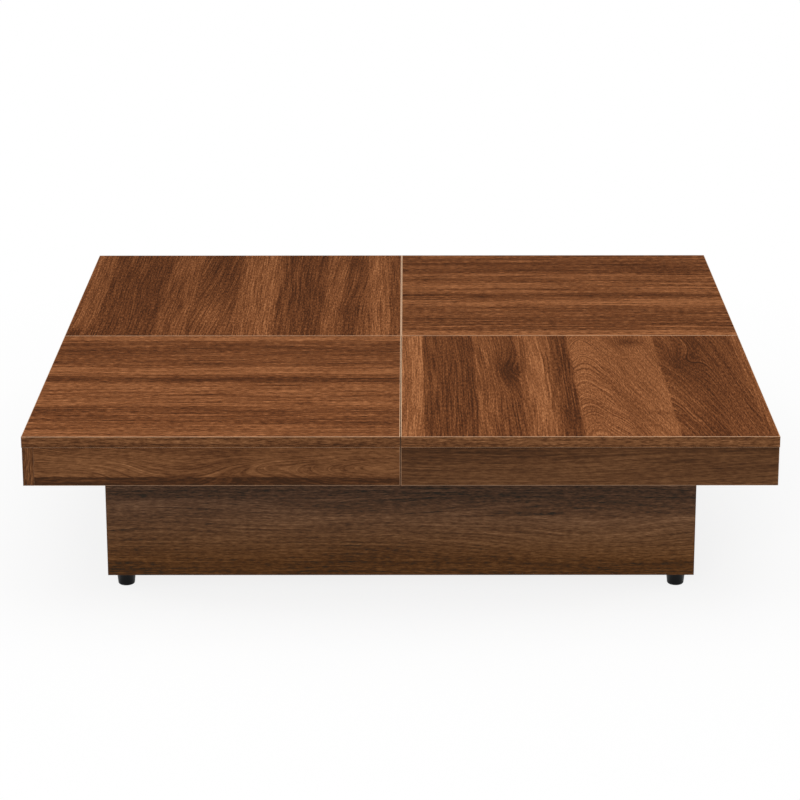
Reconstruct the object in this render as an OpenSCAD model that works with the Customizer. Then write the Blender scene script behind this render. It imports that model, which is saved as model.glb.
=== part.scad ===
// Sliding top coffee table. The two halves of the top slide apart on ball-bearing slides and
// open the storage space in the plinth. Origin on the floor under the middle, +Z up, front at -Y.
// The right half is the left half turned half a turn about the vertical centre line.

/* [Table] */
// Width of the closed table, left to right
table_w = 1000; // [900:10:1200]
// Depth of the table, front to back
table_d = 1000; // [800:10:1200]
// Height of the table top above the floor
table_h = 250; // [230:5:450]
// Height of each top half, over panel and apron
top_h = 68; // [66:1:90]
// Gap between the two halves when closed
seam_gap = 1; // [0.5:0.5:4]
// How far each half slides out
slide_travel = 250; // [180:10:260]
// How far the plinth stands back from the edge of the top
plinth_recess = 98; // [90:1:110]

/* [Boards] */
// Thickness of the four top panels
panel_t = 15; // [13:1:18]
// Thickness of the aprons
apron_t = 15; // [13:1:18]
// How far a panel overhangs its aprons
panel_lip = 0.5; // [0:0.1:1]
// Thickness of the edge bands
band_t = 0.8; // [0.4:0.1:1]
// Thickness of the four plinth boards
plinth_t = 15; // [15:1:18]
// Thickness of the bottom board
bottom_t = 15; // [15:1:18]
// Thickness of the divider board
divider_t = 15; // [13:1:18]

/* [Battens and runners] */
// Thickness of the battens under the panels
batten_t = 18; // [15:1:22]
// Width of the batten under the panel joint
centre_batten_w = 80; // [60:5:100]
// Width of the batten along the seam
inner_batten_w = 60; // [40:5:80]
// Thickness of the runner boards
runner_t = 15; // [14:1:18]
// Height of the runner boards
runner_h = 45; // [42:1:50]

/* [Slides] */
// Slide's outer end from the plinth's end
slide_end_gap = 7; // [5:1:15]
// Slide's inner end from the middle of the table
slide_middle_gap = 45; // [30:1:60]
// Height of a slide
slide_h = 35; // [33:1:40]
// Side space that a slide takes
slide_t = 10; // [10:0.5:12.7]
// Thickness of the slide's steel
steel_t = 1; // [0.8:0.1:1.2]
// Diameter of the balls
ball_d = 3.5; // [3:0.5:4]
// Balls in each row of a cage
balls_per_row = 5; // [3:1:7]

/* [Feet] */
// Height of the feet
foot_h = 20; // [16:1:40]
// Diameter of a foot at its top
foot_top_d = 27; // [24:1:30]
// Diameter of a foot near its bottom
foot_bottom_d = 23; // [20:1:24]
// Foot centre from the plinth's outer faces
foot_inset = 23; // [22:1:32]

/* [Fittings] */
// Diameter of the board screws
screw_d = 4; // [3:0.5:5]
// Diameter of the slide and bracket screws
small_screw_d = 3.5; // [3:0.5:4]
// How deep a screw goes into the board it holds
screw_bite = 10; // [8:1:11]
// Diameter of the dowels
dowel_d = 8; // [6:1:8]
// Length of the dowels
dowel_l = 30; // [24:1:35]
// Diameter of the cam locks
cam_d = 14.8; // [12:0.1:15]
// Depth of the cam locks
cam_h = 12; // [11:0.5:12]
// Cam lock centre from the board's end
cam_reach = 34; // [24:1:40]
// Leg length of the angle brackets
bracket_leg = 22; // [18:1:26]
// Width of the angle brackets
bracket_w = 18; // [12:1:24]
// Thickness of the angle brackets
bracket_t = 1.5; // [1:0.5:2]

/* [Hidden] */
$fn = 48;

walnut = "#6f4326";
walnut_dark = "#573522";
band_tan = "#9a6a48";
steel = "#b9bcc0";
black_plastic = "#1b1b1c";
beech = "#c9a673";

// Clearance round screws, dowels, bolts and cam locks in their holes
fit_gap = 0.1;
// Gap left at the blind end of a hole
end_gap = 0.5;
// Gap that lets a moving batten or panel pass over a fixed board
pass_gap = 4;
// Overshoot that makes a cut break the surface cleanly
cut = 1;

// Main lines of the table
half_w = table_w / 2;
half_d = table_d / 2;
seam_x = seam_gap / 2;
panel_z = table_h - panel_t;
top_z = table_h - top_h;
apron_out_x = half_w - panel_lip;
apron_out_y = half_d - panel_lip;
apron_in_x = apron_out_x - apron_t;
apron_in_y = apron_out_y - apron_t;
plinth_x = half_w - plinth_recess;
plinth_y = half_d - plinth_recess;
inside_x = plinth_x - plinth_t;
inside_y = plinth_y - plinth_t;
bottom_top_z = foot_h + bottom_t;
tall_board_z = panel_z - pass_gap;
low_board_z = panel_z - batten_t - pass_gap;

// Runners and battens under each half
runner_in_y = plinth_y + slide_t;
runner_out_y = runner_in_y + runner_t;
runner_z = panel_z - runner_h;
slide_out_x = plinth_x - slide_end_gap;
slide_l = slide_out_x - slide_middle_gap;
inner_batten_y = inside_y - pass_gap;
batten_seam_x = seam_x + inner_batten_w;
runner_end_gap = 60;
batten_end_gap = 40;
runner_screw_xs = spread(-apron_in_x + runner_end_gap, -slide_middle_gap - runner_end_gap, 3);
centre_screw_xs = spread(-apron_in_x + batten_end_gap, -batten_seam_x - batten_end_gap, 3);
inner_screw_ys = [-inner_batten_y + batten_end_gap, -centre_batten_w / 2 - 2 * batten_end_gap];
inner_screw_x = -seam_x - inner_batten_w / 2;
centre_screw_y = -centre_batten_w / 4;
runner_screw_y = -(runner_in_y + runner_t / 2);

// Screws: countersunk for boards, slides and brackets, pan head for the feet
head_ratio = 2;
pan_head_h = 2;
pan_round = 0.6;
pan_dimple_h = 1.2;
foot_screw_bite = 12;
foot_bore_d = 12;
foot_floor_t = 12;
foot_bore_h = foot_h - foot_floor_t;
foot_fillet = 3;
slide_screw_l = 11;

// Angle brackets between aprons and panels
bracket_hole = 14;
bracket_end_gap = 85;
bracket_side_gap = 75;
bracket_xs = spread(-apron_in_x + bracket_end_gap, -seam_x - bracket_end_gap, 2);
bracket_ys = spread(-runner_in_y + bracket_side_gap, runner_in_y - bracket_side_gap, 4);
// Bracket places as x, y and turn about Z
bracket_spots = concat([for (x = bracket_xs) for (side = [-1, 1]) [x, side * apron_in_y, -90 * side]],
                       [for (y = bracket_ys) [-apron_in_x, y, 0]]);

// Cam locks, cam bolts and dowels
cam_bolt_d = 6;
cam_bore_gap = 1;
cam_bore_d = cam_bolt_d + cam_bore_gap;
cam_neck_d = 4;
cam_neck_l = 6;
cam_head_l = 3;
cam_bolt_bite = 11;
cam_slot_l = 7;
cam_slot_w = 1.5;
cam_slot_h = 2;
dowel_bite = 9;
dowel_chamfer = 0.8;
corner_cam_gap = 34;
corner_dowel_gap = 30;
corner_cam_zs = [bottom_top_z + corner_cam_gap, low_board_z - corner_cam_gap];
corner_dowel_zs = [corner_cam_zs[0] + corner_dowel_gap, corner_cam_zs[1] - corner_dowel_gap];
bottom_cam_x = plinth_x / 2;
bottom_cam_y = plinth_y / 2;
bottom_bolt_z = foot_h + bottom_t / 2;
divider_dowel_gap = 45;
divider_dowel_zs = [bottom_top_z + divider_dowel_gap, low_board_z - divider_dowel_gap];
divider_end_gap = 90;
divider_screw_ys = spread(-inside_y + divider_end_gap, inside_y - divider_end_gap, 4);
divider_screw_bite = 35;
divider_screw_l = bottom_t + divider_screw_bite;
apron_dowel_gap = 15;
apron_dowel_zs = [top_z + apron_dowel_gap, panel_z - apron_dowel_gap];

// Slide section: u runs out from the plinth board, v runs up, both from the slide's middle height
slide_z = (top_z + panel_z) / 2;
ball_gap = 0.05;
track_r = ball_d / 2 + ball_gap;
track_v = slide_h / 2 - steel_t - track_r;
track_u = slide_t / 2;
lip_drop = 0.25;
cage_t = 0.6;
cage_side_gap = 0.3;
cage_web_u = steel_t + cage_side_gap;
cage_reach = 1.4;
hook_gap = 0.2;
cage_ball_gap = 0.1;
stop_h = 10;
stop_gap = 0.5;
moving_l = slide_l - steel_t - stop_gap;
cage_gap = 0.5;
cage_stop_a = steel_t;
cage_stop_b = moving_l - steel_t - slide_travel;
cage_l = cage_stop_b - cage_stop_a - 2 * cage_gap;
cage_middle = (cage_stop_a + cage_stop_b) / 2 + slide_travel / 2;
ball_pitch = cage_l / balls_per_row;
slide_screw_gap = 30;
slide_screw_xs = spread(slide_screw_gap, slide_l - slide_screw_gap, 3);

// n values evenly spaced from a to b
function spread(a, b, n) = [for (i = [0:n - 1]) a + (b - a) * i / (n - 1)];

// Box between two corners, given in any order on each axis
module block(a, b) {
    lo = [min(a.x, b.x), min(a.y, b.y), min(a.z, b.z)];
    hi = [max(a.x, b.x), max(a.y, b.y), max(a.z, b.z)];
    translate(lo) cube(hi - lo);
}

// Turns a piece drawn along +Z so that it runs along another axis
module along_px() rotate([0, 90, 0]) children();
module along_nx() rotate([0, -90, 0]) children();
module along_py() rotate([-90, 0, 0]) children();
module along_ny() rotate([90, 0, 0]) children();

// Draws its children and their mirror images
module both_x() {
    children();
    mirror([1, 0, 0]) children();
}
module both_y() {
    children();
    mirror([0, 1, 0]) children();
}

// Countersunk screw along +Z, its head flush at z = 0, with a driver dimple in the head
module flat_screw(d, l) {
    r = d / 2;
    rotate_extrude() polygon([[0, r], [r, 0], [r * head_ratio, 0], [r, r * (head_ratio - 1)],
                              [r, l - r], [0, l]]);
}

// Hole for a countersunk screw
module flat_hole(d, l) {
    r = d / 2;
    translate([0, 0, -cut]) cylinder(r = r + fit_gap, h = l + cut + end_gap);
    translate([0, 0, -fit_gap])
        cylinder(r1 = r * head_ratio + 2 * fit_gap, r2 = r + fit_gap, h = r * (head_ratio - 1) + fit_gap);
}

module flat_screw_or_hole(d, l, hole) {
    if (hole) flat_hole(d, l);
    else flat_screw(d, l);
}

// Pan head screw along +Z, the underside of its head at z = 0, with a driver dimple in the head
module pan_screw(d, l) {
    r = d / 2;
    head_r = r * head_ratio;
    rotate_extrude() polygon([[0, pan_dimple_h - pan_head_h], [r, -pan_head_h],
                              [head_r - pan_round, -pan_head_h], [head_r, pan_round - pan_head_h],
                              [head_r, 0], [r, 0], [r, l - r], [0, l]]);
}

// Blind hole from z = 0 for a shank or a dowel
module blind_hole(d, l) translate([0, 0, -cut]) cylinder(d = d + 2 * fit_gap, h = l + cut + end_gap);

// Dowel along +Z with chamfered ends, from z = 0
module dowel() {
    r = dowel_d / 2;
    rotate_extrude() polygon([[0, 0], [r - dowel_chamfer, 0], [r, dowel_chamfer],
                              [r, dowel_l - dowel_chamfer], [r - dowel_chamfer, dowel_l], [0, dowel_l]]);
}

// Cam lock in a hole from z = 0 down to -cam_h; its bolt comes in along -Y at half the board's depth
module cam_lock(depth) {
    difference() {
        translate([0, 0, -cam_h]) cylinder(d = cam_d, h = cam_h);
        translate([0, -cam_d, -depth]) along_py() cylinder(d = cam_bore_d, h = cam_d + cam_bore_d / 2);
        for (turn = [0, 90]) rotate([0, 0, turn]) translate([0, 0, (cut - cam_slot_h) / 2])
            cube([cam_slot_l, cam_slot_w, cut + cam_slot_h], center = true);
    }
}
module cam_hole() {
    translate([0, 0, -cam_h - fit_gap]) cylinder(d = cam_d + 2 * fit_gap, h = cam_h + fit_gap + cut);
}

// Cam bolt along +Z: its thread ends at z = 0, where the boards meet, and its head lies in the cam
module cam_bolt() {
    head_z = cam_reach - cam_head_l / 2;
    neck_z = head_z - cam_neck_l;
    r = cam_bolt_d / 2;
    neck_r = cam_neck_d / 2;
    end_z = head_z + cam_head_l;
    rotate_extrude() polygon([[0, -cam_bolt_bite], [r, -cam_bolt_bite], [r, neck_z], [neck_r, neck_z],
                              [neck_r, head_z], [r, head_z], [r, end_z], [0, end_z]]);
}
module cam_bolt_bore() translate([0, 0, -cut]) cylinder(d = cam_bore_d, h = cam_reach + cut);

// Places of the corner fittings: at each long board's inner face, along the side board's thickness
module corner_places(zs) {
    for (z = zs)
        both_x() both_y() translate([-inside_x - plinth_t / 2, -inside_y, z]) along_py() children();
}

// Places of the bottom board's fittings: along +Z into the bottom board from each plinth board
module bottom_bolt_places() {
    both_x() both_y() translate([-bottom_cam_x, -inside_y, bottom_bolt_z]) along_py() children();
    both_x() both_y() translate([-inside_x, -bottom_cam_y, bottom_bolt_z]) along_px() children();
}
module divider_dowel_places() {
    for (z = divider_dowel_zs)
        both_y() translate([0, -inside_y, z]) along_py() children();
}
module divider_screw_places() {
    for (y = divider_screw_ys) translate([0, y, foot_h]) children();
}
module foot_places() {
    both_x() both_y() translate([-plinth_x + foot_inset, -plinth_y + foot_inset, 0]) children();
}

// Slide frame for the front left slide: local x is u, local y is v, local z runs from the outer end
module slide_frame() {
    translate([-slide_out_x, -plinth_y, slide_z]) rotate([90, 0, 90]) mirror([1, 0, 0]) children();
}
module fixed_screw_places() {
    slide_frame() for (s = slide_screw_xs) translate([steel_t, 0, s]) along_nx() children();
}
module moving_screw_places() {
    slide_frame() for (s = slide_screw_xs) translate([slide_t - steel_t, 0, s]) along_px() children();
}

// Plinth boards
module long_plinth_board() {
    difference() {
        block([-plinth_x + band_t, -plinth_y, foot_h + band_t],
              [plinth_x - band_t, -inside_y, tall_board_z - band_t]);
        corner_places(corner_cam_zs) rotate([180, 0, 0]) blind_hole(cam_bolt_d, cam_bolt_bite);
        corner_places(corner_dowel_zs) rotate([180, 0, 0]) blind_hole(dowel_d, dowel_bite);
        bottom_bolt_places() rotate([180, 0, 0]) blind_hole(cam_bolt_d, cam_bolt_bite);
        divider_dowel_places() rotate([180, 0, 0]) blind_hole(dowel_d, dowel_bite);
        both_x() fixed_screw_places() flat_hole(small_screw_d, slide_screw_l);
    }
}
module plinth_front_board() color(walnut_dark) long_plinth_board();
module plinth_back_board() color(walnut_dark) mirror([0, 1, 0]) long_plinth_board();

module short_plinth_board() {
    difference() {
        block([-plinth_x, -inside_y, foot_h + band_t], [-inside_x, inside_y, low_board_z - band_t]);
        corner_places(corner_cam_zs) cam_bolt_bore();
        corner_places(corner_dowel_zs) blind_hole(dowel_d, dowel_l - dowel_bite);
        corner_cam_places() cam_hole();
        bottom_bolt_places() rotate([180, 0, 0]) blind_hole(cam_bolt_d, cam_bolt_bite);
    }
}
module plinth_left_board() color(walnut_dark) short_plinth_board();
module plinth_right_board() color(walnut_dark) mirror([1, 0, 0]) short_plinth_board();

module bottom_board() {
    color(walnut) difference() {
        block([-inside_x, -inside_y, foot_h], [inside_x, inside_y, bottom_top_z]);
        bottom_bolt_places() cam_bolt_bore();
        bottom_cam_places() cam_hole();
        divider_screw_places() flat_hole(screw_d, divider_screw_l);
        foot_places() translate([0, 0, foot_h]) blind_hole(screw_d, foot_screw_bite);
    }
}

module divider_board() {
    color(walnut) difference() {
        block([-divider_t / 2, -inside_y, bottom_top_z], [divider_t / 2, inside_y, low_board_z - band_t]);
        divider_dowel_places() blind_hole(dowel_d, dowel_l - dowel_bite);
        divider_screw_places() flat_hole(screw_d, divider_screw_l);
    }
}

module plinth_edge_bands() {
    color(band_tan) {
        both_y() {
            for (z = [foot_h, tall_board_z - band_t])
                block([-plinth_x, -plinth_y, z], [plinth_x, -inside_y, z + band_t]);
            both_x() block([-plinth_x, -plinth_y, foot_h + band_t],
                           [-plinth_x + band_t, -inside_y, tall_board_z - band_t]);
        }
        both_x() for (z = [foot_h, low_board_z - band_t])
            block([-plinth_x, -inside_y, z], [-inside_x, inside_y, z + band_t]);
        block([-divider_t / 2, -inside_y, low_board_z - band_t], [divider_t / 2, inside_y, low_board_z]);
    }
}

// Cam locks in the side boards turn towards the long boards, those in the bottom board towards all four
module corner_cam_places() {
    for (z = corner_cam_zs)
        both_x() both_y() translate([-inside_x, -inside_y + cam_reach, z]) along_px() children();
}
module bottom_cam_places() {
    both_x() both_y() {
        translate([-bottom_cam_x, -inside_y + cam_reach, foot_h]) rotate([0, 180, 0]) children();
        translate([-inside_x + cam_reach, -bottom_cam_y, foot_h]) rotate([0, 180, -90]) children();
    }
}
module cam_locks() {
    color(steel) corner_cam_places() cam_lock(plinth_t / 2);
    color(steel) bottom_cam_places() cam_lock(bottom_t / 2);
}
module cam_bolts() {
    color(steel) corner_places(corner_cam_zs) cam_bolt();
    color(steel) bottom_bolt_places() cam_bolt();
}
module corner_dowels() color(beech) corner_places(corner_dowel_zs) translate([0, 0, -dowel_bite]) dowel();
module divider_dowels() color(beech) divider_dowel_places() translate([0, 0, -dowel_bite]) dowel();
module divider_screws() color(steel) divider_screw_places() flat_screw(screw_d, divider_screw_l);

// Feet: a tapered plastic glide with a rounded lower edge and a counterbore for its screw
module foot() {
    r_top = foot_top_d / 2;
    r_low = foot_bottom_d / 2;
    arc = [for (a = [-90:15:0]) [r_low, foot_fillet] + foot_fillet * [cos(a) - 1, sin(a)]];
    difference() {
        rotate_extrude() polygon(concat([[0, 0]], arc, [[r_top, foot_h], [0, foot_h]]));
        translate([0, 0, -cut]) cylinder(d = foot_bore_d, h = foot_bore_h + cut);
        cylinder(d = screw_d + 2 * fit_gap, h = foot_h + cut);
    }
}
module front_left_foot() translate([-plinth_x + foot_inset, -plinth_y + foot_inset, 0]) foot();
module foot_front_left() color(black_plastic) front_left_foot();
module foot_front_right() color(black_plastic) mirror([1, 0, 0]) front_left_foot();
module foot_back_left() color(black_plastic) mirror([0, 1, 0]) front_left_foot();
module foot_back_right() color(black_plastic) mirror([1, 0, 0]) mirror([0, 1, 0]) front_left_foot();
module foot_screws() {
    color(steel) foot_places() translate([0, 0, foot_bore_h])
        pan_screw(screw_d, foot_h - foot_bore_h + foot_screw_bite);
}

// Curved edge of a slide member round the upper right of a ball, down to the height v_low
module track_hook(v_low) {
    intersection() {
        difference() {
            circle(r = track_r + steel_t);
            circle(r = track_r);
        }
        translate([0, v_low]) square(track_r + 2 * steel_t);
    }
}

// Section of the fixed member: web on the plinth board, flanges that hook round the balls outside
module fixed_section() {
    translate([0, -slide_h / 2]) square([steel_t, slide_h]);
    both_y() {
        translate([0, slide_h / 2 - steel_t]) square([track_u, steel_t]);
        translate([track_u, track_v]) track_hook(-lip_drop);
    }
}

// Section of the moving member: web on the runner board, flanges that hook round the balls inside
module moving_section() {
    web_v = track_v - track_r;
    translate([slide_t - steel_t, -web_v]) square([steel_t, 2 * web_v]);
    both_y() {
        translate([track_u, web_v - steel_t]) square([slide_t - track_u, steel_t]);
        translate([track_u, track_v]) rotate(180) track_hook(cage_t / 2 + hook_gap);
    }
}

module slide_fixed_member() {
    slide_frame() difference() {
        union() {
            linear_extrude(slide_l) fixed_section();
            translate([steel_t, -stop_h / 2, 0]) cube([slide_t - 3 * steel_t, stop_h, steel_t]);
            translate([steel_t, -stop_h / 2, slide_l - steel_t])
                cube([slide_t - 2 * steel_t, stop_h, steel_t]);
        }
        for (s = slide_screw_xs)
            translate([steel_t, 0, s]) along_nx() flat_hole(small_screw_d, slide_screw_l);
    }
}
module slide_moving_member() {
    slide_frame() difference() {
        union() {
            linear_extrude(moving_l) moving_section();
            translate([cage_web_u, -stop_h / 2, moving_l - steel_t])
                cube([slide_t - steel_t - cage_web_u, stop_h, steel_t]);
        }
        for (s = slide_screw_xs)
            translate([slide_t - steel_t, 0, s]) along_px() flat_hole(small_screw_d, slide_screw_l);
    }
}

// Ball cage: a strip with toothed edges, and the balls that lie between the teeth
module ball_places() {
    for (i = [0:balls_per_row - 1])
        translate([track_u, 0, (i + 0.5 - balls_per_row / 2) * ball_pitch]) children();
}
module ball_cage() {
    slide_frame() translate([0, 0, cage_middle]) {
        difference() {
            translate([0, 0, -cage_l / 2]) linear_extrude(cage_l) {
                translate([cage_web_u, -track_v - cage_t / 2]) square([cage_t, 2 * track_v + cage_t]);
                both_y() translate([cage_web_u, track_v - cage_t / 2])
                    square([track_u + cage_reach - cage_web_u, cage_t]);
            }
            ball_places() along_ny() translate([0, 0, -slide_h / 2])
                cylinder(d = ball_d + 2 * cage_ball_gap, h = slide_h);
        }
        both_y() translate([0, track_v, 0]) ball_places() sphere(d = ball_d);
    }
}

module slide_fixed_front_left() color(steel) slide_fixed_member();
module slide_fixed_front_right() color(steel) mirror([1, 0, 0]) slide_fixed_member();
module slide_fixed_back_left() color(steel) mirror([0, 1, 0]) slide_fixed_member();
module slide_fixed_back_right() color(steel) mirror([1, 0, 0]) mirror([0, 1, 0]) slide_fixed_member();
module slide_moving_front_left() color(steel) slide_moving_member();
module slide_moving_front_right() color(steel) mirror([1, 0, 0]) slide_moving_member();
module slide_moving_back_left() color(steel) mirror([0, 1, 0]) slide_moving_member();
module slide_moving_back_right() color(steel) mirror([1, 0, 0]) mirror([0, 1, 0]) slide_moving_member();
module cage_front_left() color(steel) ball_cage();
module cage_front_right() color(steel) mirror([1, 0, 0]) ball_cage();
module cage_back_left() color(steel) mirror([0, 1, 0]) ball_cage();
module cage_back_right() color(steel) mirror([1, 0, 0]) mirror([0, 1, 0]) ball_cage();
module fixed_slide_screws() {
    color(steel) both_x() both_y() fixed_screw_places() flat_screw(small_screw_d, slide_screw_l);
}

// Board screws under one half, upwards through the runners and the battens into the panels
module runner_screws_as(hole) {
    for (x = runner_screw_xs) for (side = [-1, 1]) translate([x, side * runner_screw_y, runner_z])
        flat_screw_or_hole(screw_d, runner_h + screw_bite, hole);
}
module batten_screws_as(hole) {
    spots = concat([for (x = centre_screw_xs) for (side = [-1, 1]) [x, side * centre_screw_y]],
                   [for (y = inner_screw_ys) for (side = [-1, 1]) [inner_screw_x, side * y]]);
    for (p = spots) translate([p.x, p.y, panel_z - batten_t])
        flat_screw_or_hole(screw_d, batten_t + screw_bite, hole);
}

// Bracket frame: +X away from the apron's inner face, the panel's underside at z = 0
module bracket_places() {
    for (p = bracket_spots) translate([p.x, p.y, panel_z]) rotate([0, 0, p.z]) children();
}
module bracket() {
    difference() {
        union() {
            translate([0, -bracket_w / 2, -bracket_t]) cube([bracket_leg, bracket_w, bracket_t]);
            translate([0, -bracket_w / 2, -bracket_leg]) cube([bracket_t, bracket_w, bracket_leg]);
        }
        bracket_screw_places() flat_hole(small_screw_d, bracket_t);
    }
}
module bracket_screw_places() {
    translate([bracket_hole, 0, -bracket_t]) children();
    translate([bracket_t, 0, -bracket_hole]) along_nx() children();
}
module bracket_screw_holes() {
    bracket_places() bracket_screw_places() flat_hole(small_screw_d, bracket_t + screw_bite);
}

// Front left panel, its bands along all four edges, and the back left panel as its mirror image
module half_panel() {
    difference() {
        block([-half_w + band_t, -half_d + band_t, panel_z], [-seam_x - band_t, -band_t, table_h]);
        runner_screws_as(hole = true);
        batten_screws_as(hole = true);
        bracket_screw_holes();
    }
}
module half_panel_bands() {
    for (y = [-half_d, -band_t]) block([-half_w, y, panel_z], [-seam_x, y + band_t, table_h]);
    for (x = [-half_w, -seam_x - band_t])
        block([x, -half_d + band_t, panel_z], [x + band_t, -band_t, table_h]);
}
module left_front_panel() color(walnut) half_panel();
module left_back_panel() color(walnut) mirror([0, 1, 0]) half_panel();
module left_panel_edge_bands() color(band_tan) both_y() half_panel_bands();

// Dowels of the apron corners: the side apron covers the front apron's end and the back one covers its own
module apron_dowel_places() {
    for (z = apron_dowel_zs) {
        translate([-apron_in_x, -apron_in_y - apron_t / 2, z]) along_px() children();
        translate([-apron_in_x - apron_t / 2, apron_in_y, z]) along_ny() children();
    }
}

// Aprons: the front one stands between side apron and seam, the back one runs full width
module left_front_apron() {
    color(walnut) difference() {
        block([-apron_in_x, -apron_out_y, top_z + band_t], [-seam_x - band_t, -apron_in_y, panel_z]);
        apron_dowel_places() blind_hole(dowel_d, dowel_l - dowel_bite);
        bracket_screw_holes();
    }
}
module left_back_apron() {
    color(walnut) difference() {
        block([-apron_out_x + band_t, apron_in_y, top_z + band_t], [-seam_x - band_t, apron_out_y, panel_z]);
        apron_dowel_places() rotate([180, 0, 0]) blind_hole(dowel_d, dowel_bite);
        bracket_screw_holes();
    }
}
module left_side_apron() {
    color(walnut) difference() {
        block([-apron_out_x, -apron_out_y + band_t, top_z + band_t], [-apron_in_x, apron_in_y, panel_z]);
        apron_dowel_places() blind_hole(dowel_d, dowel_l - dowel_bite);
        apron_dowel_places() rotate([180, 0, 0]) blind_hole(dowel_d, dowel_bite);
        bracket_screw_holes();
    }
}
module left_apron_edge_bands() {
    low = top_z;
    up = top_z + band_t;
    color(band_tan) {
        block([-apron_in_x, -apron_out_y, low], [-seam_x, -apron_in_y, up]);
        block([-apron_out_x, apron_in_y, low], [-seam_x, apron_out_y, up]);
        block([-apron_out_x, -apron_out_y, low], [-apron_in_x, apron_in_y, up]);
        block([-seam_x - band_t, -apron_out_y, up], [-seam_x, -apron_in_y, panel_z]);
        block([-seam_x - band_t, apron_in_y, up], [-seam_x, apron_out_y, panel_z]);
        block([-apron_out_x, apron_in_y, up], [-apron_out_x + band_t, apron_out_y, panel_z]);
        block([-apron_out_x, -apron_out_y, up], [-apron_in_x, -apron_out_y + band_t, panel_z]);
    }
}
module left_apron_dowels() color(beech) apron_dowel_places() translate([0, 0, -dowel_bite]) dowel();
module left_brackets() color(steel) bracket_places() bracket();

// Runner boards and battens of the left half
module half_runner() {
    difference() {
        block([-apron_in_x, -runner_out_y, runner_z], [-slide_middle_gap, -runner_in_y, panel_z]);
        runner_screws_as(hole = true);
        moving_screw_places() flat_hole(small_screw_d, slide_screw_l);
    }
}
module left_front_runner() color(beech) half_runner();
module left_back_runner() color(beech) mirror([0, 1, 0]) half_runner();
module left_centre_batten() {
    color(beech) difference() {
        block([-apron_in_x, -centre_batten_w / 2, panel_z - batten_t],
              [-batten_seam_x, centre_batten_w / 2, panel_z]);
        batten_screws_as(hole = true);
    }
}
module left_inner_batten() {
    color(beech) difference() {
        block([-batten_seam_x, -inner_batten_y, panel_z - batten_t], [-seam_x, inner_batten_y, panel_z]);
        batten_screws_as(hole = true);
    }
}
module left_board_screws() {
    color(steel) runner_screws_as(hole = false);
    color(steel) batten_screws_as(hole = false);
}
module left_small_screws() {
    color(steel) both_y() moving_screw_places() flat_screw(small_screw_d, slide_screw_l);
    color(steel) bracket_places() bracket_screw_places() flat_screw(small_screw_d, bracket_t + screw_bite);
}

// Right half: the left half turned half a turn, so its front pieces are the left half's back ones
module turned() rotate([0, 0, 180]) children();
module right_front_panel() turned() left_back_panel();
module right_back_panel() turned() left_front_panel();
module right_panel_edge_bands() turned() left_panel_edge_bands();
module right_front_apron() turned() left_back_apron();
module right_back_apron() turned() left_front_apron();
module right_side_apron() turned() left_side_apron();
module right_apron_edge_bands() turned() left_apron_edge_bands();
module right_front_runner() turned() left_back_runner();
module right_back_runner() turned() left_front_runner();
module right_centre_batten() turned() left_centre_batten();
module right_inner_batten() turned() left_inner_batten();
module right_apron_dowels() turned() left_apron_dowels();
module right_brackets() turned() left_brackets();
module right_board_screws() turned() left_board_screws();
module right_small_screws() turned() left_small_screws();

plinth_front_board();
plinth_back_board();
plinth_left_board();
plinth_right_board();
bottom_board();
divider_board();
plinth_edge_bands();
cam_locks();
cam_bolts();
corner_dowels();
divider_dowels();
divider_screws();
foot_front_left();
foot_front_right();
foot_back_left();
foot_back_right();
foot_screws();
slide_fixed_front_left();
slide_fixed_front_right();
slide_fixed_back_left();
slide_fixed_back_right();
fixed_slide_screws();
left_front_panel();
left_back_panel();
left_panel_edge_bands();
left_front_apron();
left_back_apron();
left_side_apron();
left_apron_edge_bands();
left_front_runner();
left_back_runner();
left_centre_batten();
left_inner_batten();
slide_moving_front_left();
slide_moving_back_left();
left_apron_dowels();
left_brackets();
left_board_screws();
left_small_screws();
right_front_panel();
right_back_panel();
right_panel_edge_bands();
right_front_apron();
right_back_apron();
right_side_apron();
right_apron_edge_bands();
right_front_runner();
right_back_runner();
right_centre_batten();
right_inner_batten();
slide_moving_front_right();
slide_moving_back_right();
right_apron_dowels();
right_brackets();
right_board_screws();
right_small_screws();
cage_front_left();
cage_back_left();
cage_front_right();
cage_back_right();
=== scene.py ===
# Sliding top coffee table: its finishes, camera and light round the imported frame. Metres, front at -Y.
import math

import bmesh
import bpy
from mathutils import Matrix, Vector


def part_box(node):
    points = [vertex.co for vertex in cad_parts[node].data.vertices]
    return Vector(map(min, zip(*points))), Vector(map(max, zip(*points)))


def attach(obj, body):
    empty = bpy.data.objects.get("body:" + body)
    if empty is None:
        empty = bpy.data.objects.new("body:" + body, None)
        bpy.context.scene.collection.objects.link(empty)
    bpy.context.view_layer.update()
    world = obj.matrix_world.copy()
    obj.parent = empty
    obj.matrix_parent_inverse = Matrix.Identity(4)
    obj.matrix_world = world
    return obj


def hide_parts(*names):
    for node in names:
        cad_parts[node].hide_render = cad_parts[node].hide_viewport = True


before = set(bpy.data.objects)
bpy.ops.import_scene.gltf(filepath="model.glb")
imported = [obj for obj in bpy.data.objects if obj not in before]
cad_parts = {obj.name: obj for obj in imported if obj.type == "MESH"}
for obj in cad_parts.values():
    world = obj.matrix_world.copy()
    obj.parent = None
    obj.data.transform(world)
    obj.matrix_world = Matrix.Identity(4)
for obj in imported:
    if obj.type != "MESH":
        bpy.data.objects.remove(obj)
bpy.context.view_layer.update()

# Camera: a long lens four metres in front of the closed table and a little above it, as in the
# photograph. Its place, angles and focal length were fitted to the corners of the top and the plinth.
photo_px = 800
focal_px = 2824
camera_place = (0.0087, -4.045, 1.3661)
camera_pitch = math.radians(16.73)
camera_yaw = math.radians(0.15)
camera_roll = math.radians(-0.08)
camera_data = bpy.data.cameras.new("photo_camera")
camera_data.lens = focal_px * camera_data.sensor_width / photo_px
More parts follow.
